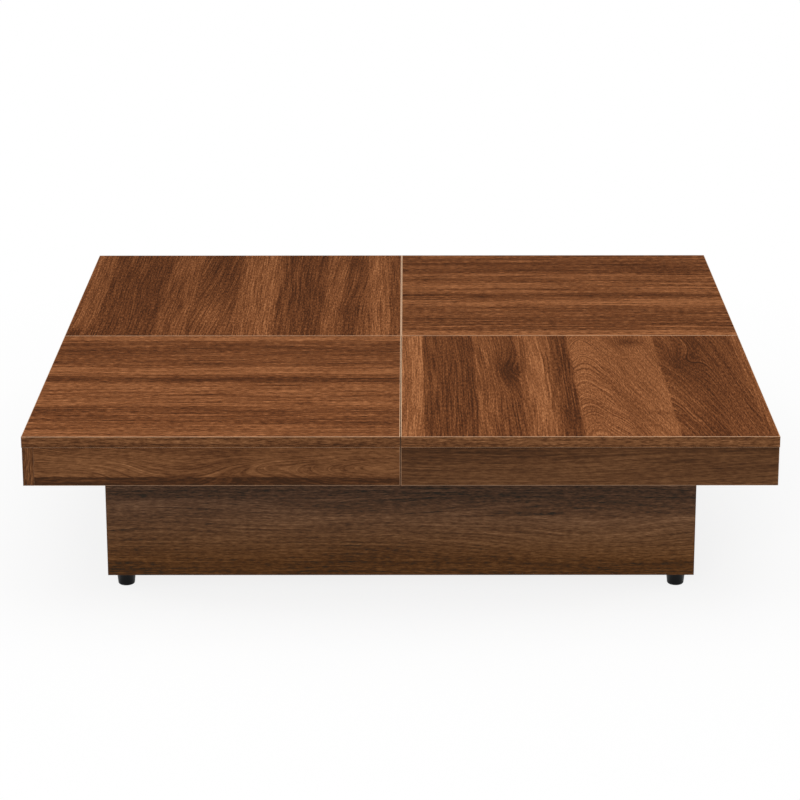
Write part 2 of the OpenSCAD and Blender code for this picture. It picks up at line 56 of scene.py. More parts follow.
camera = bpy.data.objects.new("photo_camera", camera_data)
camera.matrix_world = (
    Matrix.Translation(camera_place)
    @ Matrix.Rotation(camera_yaw, 4, "Z")
    @ Matrix.Rotation(math.pi / 2 - camera_pitch, 4, "X")
    @ Matrix.Rotation(camera_roll, 4, "Z")
)
bpy.context.scene.collection.objects.link(camera)
bpy.context.scene.camera = camera


# Plinth boards: 15 mm particle board faced with walnut decor, printed as veneer leaves side by side.
# The grain runs lengthwise on all four walls. The front one looks darkest just under the top, in the top's
# shadow. There the streaks of the front and back ones are painted lighter, which thins that shadow, and the
# front one's colours are painted greyer, as painted shade.
def srgb(red, green, blue):
    """Colour written as 0 to 255 values, in the linear numbers that shaders use."""

    def channel(value):
        share = value / 255
        return share / 12.92 if share <= 0.04045 else ((share + 0.055) / 1.055) ** 2.4

    return (channel(red), channel(green), channel(blue), 1.0)


def put(tree, kind, feeds=None, **settings):
    """Adds a shader node, sets it up, and feeds its inputs with values or with other sockets."""
    made = tree.nodes.new("ShaderNode" + kind)
    for key, value in settings.items():
        setattr(made, key, value)
    for key, value in (feeds or {}).items():
        if isinstance(value, bpy.types.NodeSocket):
            tree.links.new(value, made.inputs[key])
        else:
            made.inputs[key].default_value = value
    return made


def calc(tree, operation, *values):
    """Output of a Math node that is fed with values or sockets."""
    return put(tree, "Math", dict(enumerate(values)), operation=operation).outputs[0]


def noise(tree, parts, scales, detail=2.0, harshness=0.5):
    """Noise of about -0.2 to 0.2 at a point of three values, each scaled by its own number per metre."""
    point = put(tree, "CombineXYZ", dict(enumerate(parts)))
    scaled = put(tree, "VectorMath", {0: point.outputs[0], 1: scales}, operation="MULTIPLY")
    feeds = {"Vector": scaled.outputs[0], "Scale": 1.0, "Detail": detail, "Roughness": harshness}
    return calc(tree, "SUBTRACT", put(tree, "TexNoise", feeds).outputs[0], 0.5)


def new_group(name, inputs, outputs):
    """Shader node group with named sockets, with its input and output nodes."""
    tree = bpy.data.node_groups.new(name, "ShaderNodeTree")
    for socket, kind in inputs.items():
        tree.interface.new_socket(socket, in_out="INPUT", socket_type="NodeSocket" + kind)
    for socket, kind in outputs.items():
        tree.interface.new_socket(socket, in_out="OUTPUT", socket_type="NodeSocket" + kind)
    return tree, tree.nodes.new("NodeGroupInput"), tree.nodes.new("NodeGroupOutput")


def build_wood_grain():
    """Printed wood grain. Lines run along the board at equal distance from a heart line. A figure of
    0.5 is straight grain, 1 has crowns that point along the board and 0 has them pointing back."""
    seed_spread = 61.0
    plain_sway, crown_sway = 0.018, 0.03
    straight_offset = 0.12
    crown_nose, crown_slope, crown_crowding = 0.009, 0.36, 7.0
    ring_spacing, ring_jitter = 0.0045, 3.4
    pale_ring, plain_rings, crown_rings = 0.7, 0.25, 0.75
    dark_flank, pale_flank = 3.0, 6.0
    pore_low, pore_high = 0.06, 0.18
    pore_weight, narrow_weight, ring_weight, fibre_weight, broad_weight = -0.12, 0.85, 0.2, 1.45, 0.28
    inputs = {"Board": "Vector", "Heart": "Float", "Figure": "Float", "Lift": "Float", "Tone": "Float"}
    inputs |= {"Contrast": "Float", "Flecks": "Float"}
    outputs = {"Tone": "Float", "Height": "Float", "Fibre": "Float"}
    tree, given, result = new_group("wood_grain", inputs, outputs)
    across, along, depth = put(tree, "SeparateXYZ", {0: given.outputs["Board"]}).outputs
    heart = given.outputs["Heart"]
    seed = calc(tree, "MULTIPLY", heart, seed_spread)
    lean = calc(tree, "MULTIPLY_ADD", given.outputs["Figure"], 2.0, -1.0)
    crowned = calc(tree, "ABSOLUTE", lean)
    sway = noise(tree, (across, along, seed), (11.0, 2.4, 1.0))
    freedom = calc(tree, "MULTIPLY_ADD", crowned, crown_sway, plain_sway)
    aside = calc(tree, "MULTIPLY_ADD", sway, freedom, calc(tree, "SUBTRACT", across, heart))
    straight = calc(tree, "SUBTRACT", 1.0, crowned)
    aside = calc(tree, "MULTIPLY_ADD", straight, straight_offset, aside)
    squares = calc(tree, "MULTIPLY_ADD", aside, aside, crown_nose ** 2)
    radius = calc(tree, "ADD", calc(tree, "SQRT", squares), given.outputs["Lift"])
    closer = calc(tree, "MULTIPLY_ADD", calc(tree, "MULTIPLY", crowned, radius), crown_crowding, 1.0)
    radius = calc(tree, "MULTIPLY", radius, closer)
    radius = calc(tree, "MULTIPLY_ADD", calc(tree, "MULTIPLY", lean, along), crown_slope, radius)

    broad = noise(tree, (radius, along, seed), (48.0, 1.6, 1.0))
    narrow = noise(tree, (radius, along, seed), (280.0, 5.0, 3.0), 4.0, 0.66)
    jitter = noise(tree, (radius, along, seed), (70.0, 6.0, 1.0))
    turns = calc(tree, "MULTIPLY_ADD", jitter, ring_jitter, calc(tree, "DIVIDE", radius, ring_spacing))
    turn = calc(tree, "FRACT", turns)
    dark_side = calc(tree, "POWER", turn, dark_flank)
    pale_side = calc(tree, "POWER", calc(tree, "SUBTRACT", 1.0, turn), pale_flank)
    ring = calc(tree, "MULTIPLY_ADD", pale_side, pale_ring, calc(tree, "MULTIPLY", dark_side, -1.0))
    ring = calc(tree, "MULTIPLY", ring, calc(tree, "MULTIPLY_ADD", crowned, crown_rings, plain_rings))
    fibre = noise(tree, (radius, along, seed), (520.0, 9.0, 5.0), 3.0, 0.6)
    fleck = noise(tree, (across, along, depth), (560.0, 90.0, 560.0), 3.0, 0.7)
    fine = noise(tree, (across, along, depth), (2600.0, 160.0, 2600.0), 1.0)
    pores = put(tree, "MapRange", {0: fine, 1: pore_low, 2: pore_high}).outputs[0]

    marks = calc(tree, "MULTIPLY", pores, pore_weight)
    marks = calc(tree, "MULTIPLY_ADD", narrow, narrow_weight, marks)
    marks = calc(tree, "MULTIPLY_ADD", ring, ring_weight, marks)
    marks = calc(tree, "MULTIPLY_ADD", fibre, fibre_weight, marks)
    marks = calc(tree, "MULTIPLY_ADD", fleck, given.outputs["Flecks"], marks)
    tone = calc(tree, "MULTIPLY_ADD", broad, broad_weight, given.outputs["Tone"])
    tone = calc(tree, "MULTIPLY_ADD", marks, given.outputs["Contrast"], tone)
    height = calc(tree, "MULTIPLY_ADD", pores, -1.0, fibre)
    tree.links.new(tone, result.inputs["Tone"])
    tree.links.new(height, result.inputs["Height"])
    tree.links.new(fibre, result.inputs["Fibre"])
    return tree


def build_eye():
    """Soft spot round a knot: 1 at its centre, falling to 0 over its half width and half length."""
    inputs = {"Board": "Vector", "Centre": "Vector", "Spread": "Vector"}
    tree, given, result = new_group("eye", inputs, {"Mask": "Float"})
    board, centre, spread = given.outputs[:3]
    away = put(tree, "VectorMath", {0: board, 1: centre}, operation="SUBTRACT")
    share = put(tree, "VectorMath", {0: away.outputs[0], 1: spread}, operation="MULTIPLY")
    square = put(tree, "VectorMath", {0: share.outputs[0], 1: share.outputs[0]}, operation="DOT_PRODUCT")
    mask = calc(tree, "EXPONENT", calc(tree, "MULTIPLY", square.outputs["Value"], -1.0))
    tree.links.new(mask, result.inputs["Mask"])
    return tree


mm = 0.001
leaf_fuzz = 6 * mm
leaf_drift = 4 * mm
streak_sway = 0.03


def build_leaf_edges():
    """Places across a board as shares of its width: with the uneven edges of veneer leaves, with the
    soft swaying edges of leaves that fade, and with the slow sway of dark streaks."""
    inputs = {"Board": "Vector", "Width": "Float", "Softness": "Float"}
    outputs = {"Crisp": "Float", "Soft": "Float", "Streak": "Float"}
    tree, given, result = new_group("leaf_edges", inputs, outputs)
    from_edge, lengthwise, _ = put(tree, "SeparateXYZ", {0: given.outputs["Board"]}).outputs
    width = given.outputs["Width"]
    fuzz = noise(tree, (from_edge, lengthwise, 0.0), (600.0, 12.0, 0.0))
    drift = noise(tree, (from_edge, lengthwise, 7.0), (14.0, 9.0, 1.0), 3.0)
    sway = noise(tree, (lengthwise, 0.0, 0.0), (5.0, 0.0, 0.0), 3.0)
    crisp = calc(tree, "MULTIPLY_ADD", fuzz, leaf_fuzz, from_edge)
    soft = calc(tree, "MULTIPLY_ADD", drift, given.outputs["Softness"], crisp)
    streak = calc(tree, "MULTIPLY_ADD", sway, streak_sway, calc(tree, "DIVIDE", from_edge, width))
    tree.links.new(calc(tree, "DIVIDE", crisp, width), result.inputs["Crisp"])
    tree.links.new(calc(tree, "DIVIDE", soft, width), result.inputs["Soft"])
    tree.links.new(streak, result.inputs["Streak"])
    return tree


wood_grain = build_wood_grain()
eye = build_eye()
leaf_edges = build_leaf_edges()
walnut_shades = (
    (0.0, (62, 33, 15)),
    (0.28, (93, 50, 23)),
    (0.52, (118, 69, 36)),
    (0.78, (145, 89, 51)),
    (1.0, (178, 117, 73)),
)
olive = (1.0, 1.02, 0.85)


def walnut_colours(dull=0.0, darkest_dull=None):
    """The decor's shades, drawn towards a dull olive for boards from another sheet. The darkest shade
    may have a dullness of its own."""
    stops = []
    for place, shade in walnut_shades:
        mean = sum(shade) / 3
        share = dull if place or darkest_dull is None else darkest_dull
        mixed = [value + share * (mean * cast - value) for value, cast in zip(shade, olive)]
        stops.append((place, srgb(*mixed)))
    return stops


def place_group(tree, group, feeds):
    """Places a node group in a material, feeds it, and gives its outputs."""
    return put(tree, "Group", feeds, node_tree=group).outputs


def ramp(tree, feed, stops, interpolation="LINEAR"):
    """Colour ramp with the given places and colours."""
    made = put(tree, "ValToRGB", {0: feed})
    made.color_ramp.interpolation = interpolation
    elements = made.color_ramp.elements
    for place, colour in stops[2:]:
        elements.new(place)
    for element, (place, colour) in zip(elements, stops):
        element.position = place
        element.color = colour
    return made.outputs[0]


def grey_ramp(tree, feed, stops, interpolation="LINEAR"):
    """Ramp of plain numbers, carried as greys."""
    greys = [(place, (value, value, value, 1)) for place, value in stops]
    return put(tree, "SeparateColor", {0: ramp(tree, feed, greys, interpolation)}).outputs[0]


usual_flecks = 1.9


def grain_nodes(tree, board, heart, figure, lift, tone, contrast, flecks=usual_flecks):
    """The wood grain group, placed in a material's tree."""
    feeds = {"Board": board, "Heart": heart, "Figure": figure, "Lift": lift, "Tone": tone}
    return place_group(tree, wood_grain, feeds | {"Contrast": contrast, "Flecks": flecks})


def board_space(tree, across, along, start=0.0):
    """Object coordinates turned so that the first runs across a board, from start, and the second
    along it."""
    turn = Matrix((across, along, Vector(across).cross(Vector(along)))).to_euler()
    spot = put(tree, "TexCoord").outputs["Object"]
    return put(tree, "Mapping", {"Vector": spot, "Location": (start, 0, 0), "Rotation": turn}).outputs[0]


def new_material(name):
    """Material with its tree and its Principled shader."""
    made = bpy.data.materials.new(name)
    made.use_nodes = True
    return made, made.node_tree, made.node_tree.nodes["Principled BSDF"]


sheen_change = 0.3
pore_relief = 0.25
pore_depth = 0.25 * mm


def finish_wood(tree, shader, colour, grain, roughness, shine):
    """Feeds a wood's colour, its uneven sheen and the relief of its pores to the shader."""
    uneven = calc(tree, "MULTIPLY_ADD", grain["Fibre"], sheen_change, roughness)
    bump = put(tree, "Bump", {"Height": grain["Height"], "Strength": pore_relief, "Distance": pore_depth})
    tree.links.new(colour, shader.inputs["Base Color"])
    tree.links.new(uneven, shader.inputs["Roughness"])
    tree.links.new(bump.outputs[0], shader.inputs["Normal"])
    shader.inputs["Specular IOR Level"].default_value = shine


# Ramps hold no number below 0, so every darkening is raised by this much on its way through one.
streak_base = 0.3
board_roughness = 0.5
walnut_shine = 0.05


def walnut_board(
    name, colours, across, along, start, width, leaves, streaks=(), eyes=(), soft=1.0, contrast=0.7,
    flecks=usual_flecks, vivid=None,
):
    """Walnut decor for one board. across and along are its axes, and start is added to the first.
    In mm across the board: leaves are (edge, tone, figure) with an optional place of the heart line,
    streaks are (place, darkening), and soft is how far the leaves fade and sway into each other.
    Eyes are (across, along, half width, half length, lift in mm, darkening). Contrast is that of all
    the grain's marks, and flecks that of the short ones alone. Vivid is two pairs of a place across
    the board and the share of its colours' saturation there."""
    material, tree, shader = new_material(name)
    board = board_space(tree, across, along, start)
    share = place_group(tree, leaf_edges, {"Board": board, "Width": width, "Softness": soft * leaf_drift})

    ends = [leaf[0] for leaf in leaves[1:]] + [width / mm]
    stops = []
    for (edge, _, figure, *placed), end in zip(leaves, ends):
        heart = placed[0] if placed else (edge + end) / 2
        stops.append((edge * mm / width, (0, figure, heart * mm / width, 1)))
    leaf = put(tree, "SeparateColor", {0: ramp(tree, share["Crisp"], stops, "CONSTANT")}).outputs
    fades = [(0.0, leaves[0][1])]
    for before, after in zip(leaves, leaves[1:]):
        fades.append(((after[0] - soft) * mm / width, before[1]))
        fades.append(((after[0] + soft) * mm / width, after[1]))
    tone = grey_ramp(tree, share["Soft"], fades)
    if streaks:
        bands = [(place * mm / width, darkening + streak_base) for place, darkening in streaks]
        dark = grey_ramp(tree, share["Streak"], bands, "EASE")
        tone = calc(tree, "SUBTRACT", tone, calc(tree, "SUBTRACT", dark, streak_base))
    lift = 0.0
    for at, on, half_width, half_length, rise, darkening in eyes:
        spread = (1 / (half_width * mm), 1 / (half_length * mm), 0)
        mask = place_group(tree, eye, {"Board": board, "Centre": (at * mm, on * mm, 0), "Spread": spread})
        lift = calc(tree, "MULTIPLY_ADD", mask["Mask"], rise * mm, lift)
        tone = calc(tree, "MULTIPLY_ADD", mask["Mask"], -darkening, tone)
    heart = calc(tree, "MULTIPLY", leaf[2], width)
    grain = grain_nodes(tree, board, heart, leaf[1], lift, tone, contrast, flecks)
    colour = ramp(tree, grain["Tone"], colours)
    if vivid:
        (near, weak), (far, strong) = vivid
        place = put(tree, "SeparateXYZ", {0: board}).outputs[0]
        kept = put(tree, "MapRange", {0: place, 1: near * mm, 2: far * mm, 3: weak, 4: strong}).outputs[0]
        colour = put(tree, "HueSaturation", {"Saturation": kept, "Color": colour}).outputs[0]
    finish_wood(tree, shader, colour, grain, board_roughness, walnut_shine)
    return material


def dress(node, material):
    """Gives a CAD node its finish."""
    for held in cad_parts[node].material_slots:
        held.material = material


to_right = (1, 0, 0)
to_back = (0, 1, 0)
to_front = (0, -1, 0)
down = (0, 0, -1)
plinth_low, plinth_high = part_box("plinth_front_board")
wall_height = plinth_high.z - plinth_low.z
top_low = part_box("left_apron_edge_bands")[0].z
hidden = (plinth_high.z - top_low) / mm
# The darkest shade is greyed almost to olive: the plinth's own darkest grain, and under the top the painted
# grey cast of its shade.
plinth_colours = walnut_colours(dull=0.3, darkest_dull=0.9)
wall_leaves = [(0, 0.3, 0.5), (hidden + 44, 0.37, 0.5), (hidden + 76, 0.4, 0.52), (hidden + 140, 0.35, 0.5)]
# Streaks in mm below the plinth's top. The lightening from 16 to 38 mm below the hidden part is painted light
# that thins the top's shadow; the other darkenings are the decor's streaks.
wall_streaks_and_painted_light = [(0, 0.1)]
wall_streaks_and_painted_light += [
    (hidden + below, darkening) for below, darkening in (
        (16, -0.06), (28, -0.12), (38, -0.01), (48, 0.08), (58, 0.01), (68, -0.07), (92, -0.11),
        (108, -0.1), (132, -0.05), (146, 0.05),
    )
]
dress(
    "plinth_front_board",
    walnut_board(
        "walnut_plinth_front", plinth_colours, down, to_right, plinth_high.z, wall_height,
        wall_leaves, wall_streaks_and_painted_light,
        eyes=[(hidden + 116, 310, 30, 200, -22, -0.06), (hidden + 60, 250, 18, 230, 10, 0.12),
              (hidden + 94, -340, 24, 110, 6, 0.14), (hidden + 60, -330, 14, 110, 4, -0.09),
              (hidden + 120, -60, 14, 200, 8, 0.08), (hidden + 64, -60, 12, 140, -6, 0.06)],
        # Saturation rises from 0.84 near the top to 1.06 lower down: painted shade, the grey cast under the
        # top's overhang.
        contrast=0.64, flecks=2.0, vivid=((hidden + 30, 0.84), (hidden + 140, 1.06)),
    ),
)
dress(
    "plinth_back_board",
    walnut_board(
        "walnut_plinth_back", plinth_colours, down, to_right, plinth_high.z, wall_height,
        [(0, 0.24, 0.5), (70, 0.36, 0.6), (140, 0.28, 0.45)], wall_streaks_and_painted_light,
    ),
)
side_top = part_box("plinth_left_board")[1].z
for side, mix in (("left", 0.0), ("right", 0.05)):
    dress(
        f"plinth_{side}_board",
        walnut_board(
            f"walnut_plinth_{side}", plinth_colours, down, to_back, side_top, wall_height,
            [(0, 0.3 - mix, 0.5), (62, 0.36 + mix, 0.56), (128, 0.28 + mix, 0.4)],
            [(0, 0.06), (60, 0.0), (wall_height / mm, 0.06)],
        ),
    )

# Bottom board and divider: the same decor board, closing the plinth below and parting it in two.
# Both are only seen when a half of the top is slid out, or from below.
inside_low, inside_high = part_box("bottom_board")
leaf_width = 67
leaf_tones = (0.52, 0.36, 0.6, 0.42, 0.3, 0.56, 0.46)
leaf_figures = (0.5, 0.8, 0.5, 0.1, 0.55, 0.5, 0.85)


def plain_leaves(width, first=0):
    """Veneer leaves of the usual width, one after the other, for a board that the photograph hides."""
    count = math.ceil(width / mm / leaf_width)
    picks = [(first + i) % len(leaf_tones) for i in range(count)]
    return [(i * leaf_width, leaf_tones[k], leaf_figures[k]) for i, k in enumerate(picks)]


inside_width = inside_high.x - inside_low.x
dress(
    "bottom_board",
    walnut_board(
        "walnut_bottom", plinth_colours, to_right, to_back, -inside_low.x, inside_width,
        plain_leaves(inside_width),
    ),
)
divider_low, divider_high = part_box("divider_board")
divider_height = divider_high.z - divider_low.z
dress(
    "divider_board",
    walnut_board(
        "walnut_divider", plinth_colours, down, to_back, divider_high.z, divider_height,
        plain_leaves(divider_height, first=3),
    ),
)


# Edge bands of the plinth: 0.8 mm strips of the same decor ironed on the boards' narrow faces, with
# scraped, slightly rounded corners. Where a strip ends, its lighter core shows as a thin line. The top's
# strips get a pale core that is partly painted highlight, the light caught by their rounded edges.
bands_low, bands_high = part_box("plinth_edge_bands")
board_thick = inside_low.x - bands_low.x
band = plinth_low.x - bands_low.x
band_round = 0.6 * mm
# The top's strips' own pale core, painted paler still as a highlight caught by their rounded edges.
pale_core_highlight = srgb(240, 200, 164)
dark_core = srgb(92, 62, 42)
usual_core = 0.6
# end_core: less core on faces towards a strip's end, so the top's side corners get less painted highlight.
end_core = 0.3
band_lines = (
    (0.0, 0.04), (0.22, 0.07), (0.42, -0.04), (0.52, -0.11), (0.62, -0.03), (0.85, 0.0), (1.0, -0.02),
)


def build_band_material(name, colours, core_colour, tone):
    """Printed strip with its plain core on cut edges. Its UV runs across and then along the strip, and
    band_lines are streaks along it: a share of the board's thickness, and the darkening there."""
    material, tree, shader = new_material(name)
    spot = put(tree, "UVMap", uv_map="strip").outputs[0]
    from_edge = put(tree, "SeparateXYZ", {0: spot}).outputs[0]
    lines = [(place, darkening + streak_base) for place, darkening in band_lines]
    dark = grey_ramp(tree, calc(tree, "DIVIDE", from_edge, board_thick), lines, "EASE")
    shade = calc(tree, "SUBTRACT", tone + streak_base, dark)
    grain = grain_nodes(tree, spot, heart=0.31, figure=0.5, lift=0.0, tone=shade, contrast=0.64, flecks=3.0)
    printed = ramp(tree, grain["Tone"], colours)
    core = put(tree, "Attribute", attribute_name="core").outputs["Fac"]
    mixed = put(tree, "Mix", {0: core, 6: printed, 7: core_colour}, data_type="RGBA")
    finish_wood(tree, shader, mixed.outputs[2], grain, roughness=0.46, shine=walnut_shine)
    return material


def add_band(bm, low, high, facing, lengthwise, core, shift):
    """One strip between two corners. facing is the axis and sign of its printed face, lengthwise the
    axis of its length, core says how much of the plain core shows at its cut edges, and shift moves
    the print along, so that no two strips look the same."""
    axis, sign = facing
    middle = (Vector(low) + Vector(high)) / 2
    size = Vector(high) - Vector(low)
    others = set(bm.faces)
    made = bmesh.ops.create_cube(bm, size=1, matrix=Matrix.Translation(middle) @ Matrix.Diagonal((*size, 1)))
    face_at = middle[axis] + sign * size[axis] / 2
    corners = [v for v in made["verts"] if abs(v.co[axis] - face_at) < size[axis] / 4]
    edges = {e for v in corners for e in v.link_edges if e.other_vert(v) in corners}
    bmesh.ops.bevel(
        bm, geom=list(edges), offset=band_round, segments=3, affect="EDGES", profile=0.5, material=-1
    )
    uv = bm.loops.layers.uv["strip"]
    share = bm.faces.layers.float["core"]
    crosswise = 3 - axis - lengthwise
    printed = math.cos(math.radians(30))
    endways = 0.3
    for face in set(bm.faces) - others:
        face.normal_update()
        face[share] = 0.0 if face.normal[axis] * sign > printed else core
        if abs(face.normal[lengthwise]) > endways:
            face[share] *= end_core
        for loop in face.loops:
            loop[uv].uv = (loop.vert.co[crosswise] - low[crosswise], loop.vert.co[lengthwise] + shift)


def new_piece(name, bm, material, body, replaced):
    """Turns a bmesh into a piece that rides on a body and stands for CAD nodes."""
    mesh = bpy.data.meshes.new(name)
    bm.to_mesh(mesh)
    bm.free()
    mesh.materials.append(material)
    piece = bpy.data.objects.new(name, mesh)
    bpy.context.scene.collection.objects.link(piece)
    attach(piece, body)
    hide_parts(*replaced)


def new_bands():
    """Empty bmesh with the layers that a strip needs."""
    bm = bmesh.new()
    bm.loops.layers.uv.new("strip")
    bm.faces.layers.float.new("core")
    return bm


dark_bands = build_band_material("dark_edge_bands", plinth_colours, dark_core, tone=0.32)
bm = new_bands()
for sign in (-1, 1):
    outer = bands_low.y if sign < 0 else bands_high.y - board_thick
    ends = (outer, outer + board_thick)
    for z, facing in ((bands_low.z, -1), (bands_high.z - band, 1)):
        low = (bands_low.x, ends[0], z)
        high = (bands_high.x, ends[1], z + band)
        add_band(bm, low, high, (2, facing), 0, usual_core, 0.1 * sign)
    for x, facing in ((bands_low.x, -1), (bands_high.x - band, 1)):
        low = (x, ends[0], bands_low.z + band)
        high = (x + band, ends[1], bands_high.z - band)
        add_band(bm, low, high, (0, facing), 2, usual_core, 0.2 * sign)
    side = bands_low.x if sign < 0 else bands_high.x - board_thick
    for z, facing in ((bands_low.z, -1), (side_top, 1)):
        low = (side, inside_low.y, z)
        high = (side + board_thick, inside_high.y, z + band)
        add_band(bm, low, high, (2, facing), 1, usual_core, 0.3 * sign)
low = (divider_low.x, divider_low.y, divider_high.z)
high = (divider_high.x, divider_high.y, divider_high.z + band)
add_band(bm, low, high, (2, 1), 1, usual_core, 0.4)
new_piece("plinth_bands", bm, dark_bands, "plinth", ["plinth_edge_bands"])


# Knock-down fittings of the plinth: die-cast zinc cam locks, zinc-plated bolts and screws, and beech
# dowels. Cast zinc is matt and speckled, plated steel smoother with faint drawn lines.
def build_zinc_surface():
    """Zinc surface: blotches of spangle, specks, and lines drawn along X."""
    middle_tone, blotch_tone = 0.5, 0.35
    blotch_roughness, line_roughness = 0.3, 0.5
    inputs = {"Place": "Vector", "Roughness": "Float", "Speckle": "Float", "Drawn": "Float"}
    outputs = {"Tone": "Float", "Roughness": "Float", "Height": "Float"}
    tree, given, result = new_group("zinc_surface", inputs, outputs)
    place = put(tree, "SeparateXYZ", {0: given.outputs["Place"]}).outputs[:3]
    drawn = given.outputs["Drawn"]
    blotch = noise(tree, place, (40.0, 40.0, 40.0), 2.0)
    lines = noise(tree, place, (25.0, 2400.0, 2400.0), 1.0)
    specks = noise(tree, place, (1800.0, 1800.0, 1800.0), 0.0)
    tone = calc(tree, "MULTIPLY_ADD", blotch, blotch_tone, middle_tone)
    tone = calc(tree, "MULTIPLY_ADD", lines, drawn, tone)
    tone = calc(tree, "MULTIPLY_ADD", specks, given.outputs["Speckle"], tone)
    rough = calc(tree, "MULTIPLY_ADD", blotch, blotch_roughness, given.outputs["Roughness"])
    rough = calc(tree, "MULTIPLY_ADD", calc(tree, "MULTIPLY", lines, drawn), line_roughness, rough)
    tree.links.new(tone, result.inputs["Tone"])
    tree.links.new(rough, result.inputs["Roughness"])
    tree.links.new(specks, result.inputs["Height"])
    return tree


zinc_surface = build_zinc_surface()


dull_share = 0.72
zinc_relief = 0.15
zinc_depth = 0.2 * mm


def zinc(name, colour, roughness, speckle, drawn):
    """Zinc finish of one colour and roughness, with specks and drawn lines as strong as given."""
    material, tree, shader = new_material(name)
    spot = put(tree, "TexCoord").outputs["Object"]
    feeds = {"Place": spot, "Roughness": roughness, "Speckle": speckle, "Drawn": drawn}
    surface = place_group(tree, zinc_surface, feeds)
    dull = tuple(value * dull_share for value in colour[:3]) + (1,)
    shades = ramp(tree, surface["Tone"], ((0.25, dull), (0.8, colour)))
    bump = put(tree, "Bump", {"Height": surface["Height"], "Strength": zinc_relief, "Distance": zinc_depth})
    tree.links.new(shades, shader.inputs["Base Color"])
    tree.links.new(surface["Roughness"], shader.inputs["Roughness"])
    tree.links.new(bump.outputs[0], shader.inputs["Normal"])
    shader.inputs["Metallic"].default_value = 1.0
    return material


cast_zinc = zinc("cast_zinc", srgb(176, 178, 180), roughness=0.5, speckle=0.6, drawn=0.0)
plated_steel = zinc("plated_steel", srgb(205, 208, 212), roughness=0.3, speckle=0.1, drawn=0.5)
beech_colours = (
    (0.1, srgb(176, 138, 96)),
    (0.5, srgb(205, 170, 124)),
    (0.9, srgb(226, 196, 152)),
)


def pale_wood(name, colours, across, along, tone, figure):
    """Solid pale wood with its grain along one axis."""
    material, tree, shader = new_material(name)
    board = board_space(tree, across, along)
    grain = grain_nodes(tree, board, heart=0.02, figure=figure, lift=0.0, tone=tone, contrast=0.6)
    finish_wood(tree, shader, ramp(tree, grain["Tone"], colours), grain, roughness=0.62, shine=0.3)
    return material


beech = pale_wood("beech", beech_colours, to_right, to_back, tone=0.55, figure=0.5)
beech_crosswise = pale_wood("beech_crosswise", beech_colours, to_front, to_right, tone=0.55, figure=0.5)
dress("cam_locks", cast_zinc)
dress("cam_bolts", plated_steel)
dress("corner_dowels", beech)
dress("divider_dowels", beech)


# Screws: zinc-plated, with flat heads driven flush, or pan heads inside the feet. Every head has the
# tapered cross recess of its driver, and every one stands where the frame has its screw.
def loose_parts(node):
    """Corner points of each separate solid in a CAD node."""
    bm = bmesh.new()
    bm.from_mesh(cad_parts[node].data)
    bmesh.ops.remove_doubles(bm, verts=bm.verts, dist=1e-6)
    parts = []
    waiting = set(bm.verts)
    while waiting:
        front = [waiting.pop()]
        part = []
        while front:
            vert = front.pop()
            part.append(vert.co.copy())
            near = {e.other_vert(vert) for e in vert.link_edges} & waiting
            waiting -= near
            front += near
        parts.append(part)
    bm.free()
    return parts


def screw_place(points):
    """Centre of a screw's head, the direction of its shank, its length and its head's radius."""
    low = Vector([min(p[i] for p in points) for i in range(3)])
    high = Vector([max(p[i] for p in points) for i in range(3)])
    size = high - low
    axis = max(range(3), key=lambda i: size[i])
    middle = (low + high) / 2
    widest = max(points, key=lambda p: round((p - middle).length_squared - (p - middle)[axis] ** 2, 9))
    sign = -1 if widest[axis] > middle[axis] else 1
    way = Vector([sign if i == axis else 0 for i in range(3)])
    head = middle - way * size[axis] / 2
    radius = max(size[i] for i in range(3) if i != axis) / 2
    return head, way, size[axis], radius


def extrude_ring(bm, edges, scale, depth):
    """Extrudes a ring of edges, and sets the new ring at a depth, scaled about the screw's axis."""
    made = bmesh.ops.extrude_edge_only(bm, edges=edges)["geom"]
    ring = [part for part in made if isinstance(part, bmesh.types.BMVert)]
    for vert in ring:
        vert.co = (vert.co.x * scale, vert.co.y * scale, depth)
    return ring, [part for part in made if isinstance(part, bmesh.types.BMEdge)]


